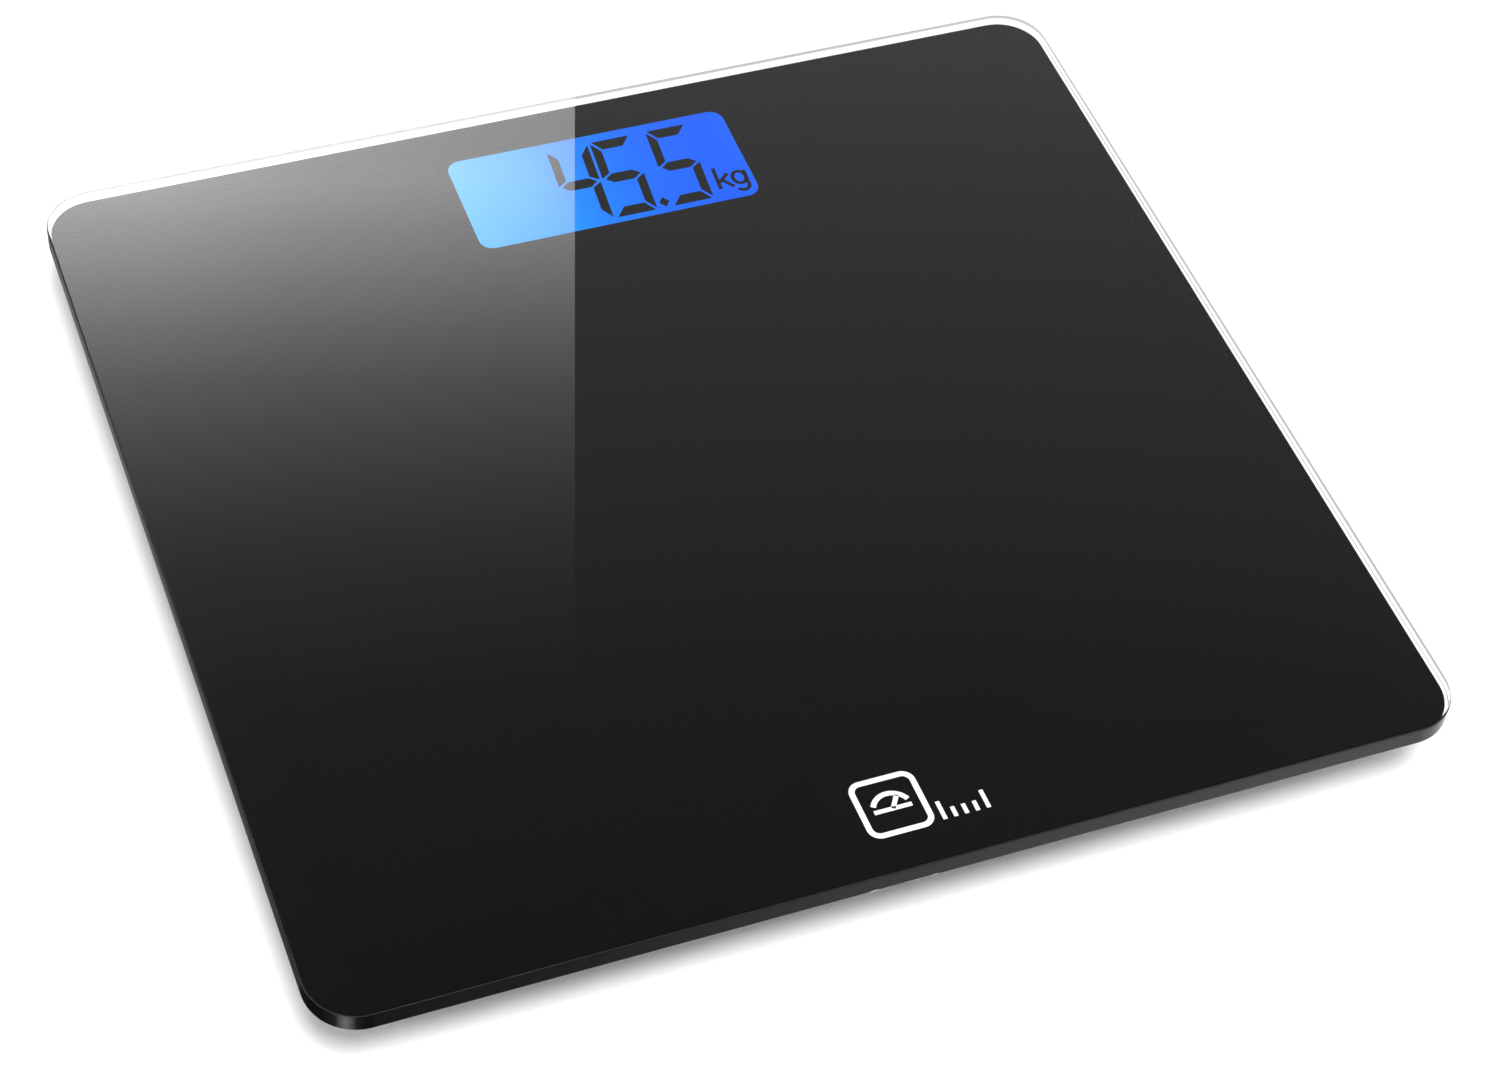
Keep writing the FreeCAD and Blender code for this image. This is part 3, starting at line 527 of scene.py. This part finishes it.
# name, darkest and lightest colour, roughness range, grain, relief in mm, other settings, nodes
FINISHES = [
    ("moulded_black", grey(0.012), grey(0.022), (0.42, 0.6), 2600, 0.03, {},
     ("electronics_housing", "battery_door", "display_bezel", *each_corner("foot_housing"))),
    ("moulded_grey", grey(0.05), grey(0.07), (0.45, 0.6), 2600, 0.03, {}, each_corner("foot_cap")),
    ("foot_rubber", grey(0.09), grey(0.13), (0.75, 0.92), 3200, 0.05, {}, each_corner("foot_pad")),
    ("stamped_steel", (0.42, 0.42, 0.41), (0.56, 0.56, 0.55), (0.25, 0.42), 1800, 0.005,
     {"metal": 1.0, "stretch": (1, 12, 1)}, each_corner("load_cell")),
    ("white_potting", grey(0.72), grey(0.82), (0.35, 0.5), 900, 0.05, {},
     each_corner("gauge_potting")),
    ("cable_jacket", grey(0.015), grey(0.03), (0.4, 0.55), 3000, 0.01, {},
     each_corner("sensor_cable")),
    ("foam_tape", grey(0.6), grey(0.72), (0.8, 0.95), 4000, 0.06, {},
     ("foot_adhesive_pads", "housing_foam_tape")),
    ("nylon", (0.62, 0.6, 0.54), (0.72, 0.7, 0.64), (0.35, 0.5), 1500, 0.02, {}, ("cable_clips",)),
    ("reflector_film", grey(0.8), grey(0.88), (0.4, 0.5), 900, 0.0, {}, ("backlight_reflector",)),
    ("light_guide", (0.3, 0.5, 0.85), (0.4, 0.6, 0.95), (0.1, 0.2), 700, 0.0, {"coat": 0.5},
     ("backlight_light_guide",)),
    ("lamp_package", (0.8, 0.8, 0.66), (0.86, 0.86, 0.72), (0.3, 0.4), 900, 0.0, {},
     ("backlight_leds",)),
    ("strip_rubber", grey(0.05), grey(0.09), (0.6, 0.8), 5000, 0.02, {"stretch": (1, 1, 6)},
     ("zebra_strip",)),
    ("solder_mask", (0.004, 0.05, 0.016), (0.008, 0.085, 0.03), (0.22, 0.34), 1500, 0.01,
     {"coat": 0.4}, ("circuit_board",)),
    ("zinc_plate", (0.5, 0.5, 0.47), (0.62, 0.61, 0.58), (0.22, 0.38), 2500, 0.005,
     {"metal": 1.0}, ("board_screws", "battery_contacts", "battery_springs")),
    ("black_epoxy", grey(0.006), grey(0.012), (0.15, 0.3), 900, 0.02, {},
     ("controller_potting", "tact_switch_body")),
    ("chip_package", (0.02, 0.018, 0.016), (0.04, 0.036, 0.03), (0.4, 0.6), 2500, 0.01, {},
     ("board_components",)),
    ("switch_red", (0.3, 0.03, 0.02), (0.38, 0.045, 0.03), (0.35, 0.5), 2500, 0.0, {},
     ("tact_switch_plunger",)),
    ("button_grey", grey(0.3), grey(0.36), (0.4, 0.55), 2600, 0.02, {}, ("unit_button",)),
    ("battery_sleeve", (0.01, 0.06, 0.045), (0.014, 0.08, 0.06), (0.18, 0.3), 800, 0.01,
     {"coat": 0.5}, ("battery_front", "battery_back")),
    ("label_paper", grey(0.66), grey(0.74), (0.5, 0.65), 3000, 0.01, {}, ("rating_label",)),
]


def dress_cad():
    wear(glass_material(), "glass_platform")
    wear(display_material(), "lcd_panel")
    for name, dark, light, rough, grain, relief, settings, nodes in FINISHES:
        wear(finish_with(name, dark, light, rough, grain, relief * MM, **settings), *nodes)


make_print()
make_display_face()
make_digits()
make_pictogram()
dress_cad()


# ---------------------------------------------------------------- floor, lights and world
def make_floor():
    mesh = bpy.data.meshes.new("floor")
    reach = 6.0
    corners = [(-reach, -reach, 0), (reach, -reach, 0), (reach, reach, 0), (-reach, reach, 0)]
    mesh.from_pydata(corners, [], [(0, 1, 2, 3)])
    floor = bpy.data.objects.new("floor", mesh)
    scene.collection.objects.link(floor)
    floor.visible_glossy = False  # polished sides reflect the world's darker floor instead
    material, tree, shader = node_material("pale_floor")
    shader.inputs["Base Color"].default_value = (0.92, 0.92, 0.92, 1)
    shader.inputs["Roughness"].default_value = 0.9
    shader.inputs["Specular IOR Level"].default_value = 0.0
    mesh.materials.append(material)


def make_sun():
    """A large soft key, high up in front. It is kept out of reflections."""
    lamp = bpy.data.lights.new("key", "SUN")
    lamp.energy = 2.9
    lamp.angle = math.radians(26)
    sun = bpy.data.objects.new("key", lamp)
    azimuth, elevation = math.radians(172), math.radians(73.6)
    level = math.cos(elevation)
    towards = Vector(
        (math.sin(azimuth) * level, math.cos(azimuth) * level, math.sin(elevation))
    )
    sun.rotation_mode = "QUATERNION"
    sun.rotation_quaternion = towards.to_track_quat("Z", "Y")
    sun.visible_glossy = False
    scene.collection.objects.link(sun)


def make_world():
    """A studio bright low down and dim overhead, which grades the glass from front to back."""
    world = bpy.data.worlds.new("studio")
    scene.world = world
    world.use_nodes = True
    tree = world.node_tree
    where = add(tree, "ShaderNodeTexCoord")
    tilt = add(tree, "ShaderNodeVectorMath", operation="DOT_PRODUCT")
    tilt.inputs[1].default_value = (0.13, 0.0, 1.0)
    tree.links.new(where.outputs["Generated"], tilt.inputs[0])
    levels = [
        (0.0, 1.0),
        (0.60, 1.0),
        (0.698, 0.78),
        (0.716, 0.67),
        (0.7506, 0.50),
        (0.796, 0.335),
        (0.8175, 0.236),
        (0.845, 0.183),
        (0.865, 0.142),
        (0.89, 0.108),
        (0.92, 0.09),
        (1.0, 0.08),
    ]
    sky = ramp_of(tree, tilt.outputs["Value"], [(at, grey(value)) for at, value in levels])
    # Below the horizon, the brightness by azimuth: mostly dark, bright behind.
    split = add(tree, "ShaderNodeSeparateXYZ")
    tree.links.new(where.outputs["Generated"], split.inputs["Vector"])
    azimuth = add(tree, "ShaderNodeMath", operation="ARCTAN2")
    tree.links.new(split.outputs["X"], azimuth.inputs[0])
    tree.links.new(split.outputs["Y"], azimuth.inputs[1])
    turn = add(tree, "ShaderNodeMapRange")
    turn.inputs["From Min"].default_value, turn.inputs["From Max"].default_value = -math.pi, math.pi
    tree.links.new(azimuth.outputs[0], turn.inputs["Value"])
    sectors = [
        (0.0, 0.05),
        (0.05, 0.12),
        (0.11, 1.6),
        (0.17, 0.12),
        (0.25, 0.02),
        (0.46, 0.02),
        (0.52, 0.9),
        (0.66, 1.0),
        (0.87, 0.8),
        (0.91, 0.5),
        (0.94, 0.14),
        (0.97, 0.05),
    ]
    low = ramp_of(tree, turn.outputs["Result"], [(at, grey(value)) for at, value in sectors])
    depth = add(tree, "ShaderNodeMapRange")
    depth.inputs["From Min"].default_value, depth.inputs["From Max"].default_value = -0.08, -0.30
    tree.links.new(split.outputs["Z"], depth.inputs["Value"])
    both = add(tree, "ShaderNodeMix", data_type="RGBA")
    tree.links.new(depth.outputs["Result"], both.inputs[0])
    tree.links.new(sky.outputs["Color"], both.inputs[6])
    tree.links.new(low.outputs["Color"], both.inputs[7])
    background = tree.nodes["Background"]
    tree.links.new(both.outputs[2], background.inputs["Color"])
    background.inputs["Strength"].default_value = 1.0


def make_softbox():
    """A tall softbox behind the object, whose upright edge shows as the hard line in the glass."""
    flip = Vector((1, 1, -1))
    mirror_right, mirror_up, mirror_back = right * flip, up * flip, back * flip
    eye = camera.matrix_world.translation.copy()
    eye.z = 2 * TOP - eye.z
    reach = 2.2
    centre = eye - mirror_back * reach
    edge, far, low, high = -0.1145, -0.60, -0.10, 0.42
    corners = [(far, low), (edge, low), (edge, high), (far, high)]
    mesh = bpy.data.meshes.new("softbox")
    places = [centre + mirror_right * x + mirror_up * y for x, y in corners]
    mesh.from_pydata(places, [], [(0, 1, 2, 3)])
    layer = mesh.uv_layers.new(name="UVMap")
    for loop, uv in zip(layer.data, ((0, 0), (1, 0), (1, 1), (0, 1))):
        loop.uv = uv
    softbox = bpy.data.objects.new("softbox", mesh)
    scene.collection.objects.link(softbox)
    for kind in ("camera", "diffuse", "shadow", "volume_scatter"):
        setattr(softbox, f"visible_{kind}", False)
    material = bpy.data.materials.new("softbox")
    material.use_nodes = True
    tree = material.node_tree
    tree.nodes.clear()
    where = add(tree, "ShaderNodeTexCoord")
    split = add(tree, "ShaderNodeSeparateXYZ")
    tree.links.new(where.outputs["UV"], split.inputs["Vector"])
    # brightness up the card, from its foot
    rise = [
        (0.0, 0.0),
        (0.075, 0.008),
        (0.138, 0.015),
        (0.20, 0.034),
        (0.263, 0.069),
        (0.326, 0.121),
        (0.389, 0.195),
        (0.452, 0.32),
        (0.514, 0.49),
        (0.578, 0.70),
        (0.64, 0.95),
        (1.0, 1.0),
    ]
    up_card = ramp_of(tree, split.outputs["Y"], [(at, grey(value)) for at, value in rise])
    fall = [(0.0, 1.0), (0.437, 0.83), (0.629, 0.667), (0.911, 0.513), (1.0, 0.48)]
    across = ramp_of(tree, split.outputs["X"], [(at, grey(value)) for at, value in fall])
    product = add(tree, "ShaderNodeMix", data_type="RGBA", blend_type="MULTIPLY")
    product.inputs["Factor"].default_value = 1.0
    tree.links.new(up_card.outputs["Color"], product.inputs[6])
    tree.links.new(across.outputs["Color"], product.inputs[7])
    lamp = add(tree, "ShaderNodeEmission")
    lamp.inputs["Strength"].default_value = 9.0
    tree.links.new(product.outputs[2], lamp.inputs["Color"])
    # The studio behind the card shows through it, so its dim foot has no edge.
    clear = add(tree, "ShaderNodeBsdfTransparent")
    total = add(tree, "ShaderNodeAddShader")
    tree.links.new(lamp.outputs["Emission"], total.inputs[0])
    tree.links.new(clear.outputs["BSDF"], total.inputs[1])
    out = add(tree, "ShaderNodeOutputMaterial")
    tree.links.new(total.outputs["Shader"], out.inputs["Surface"])
    mesh.materials.append(material)


make_floor()
make_sun()
make_world()
make_softbox()
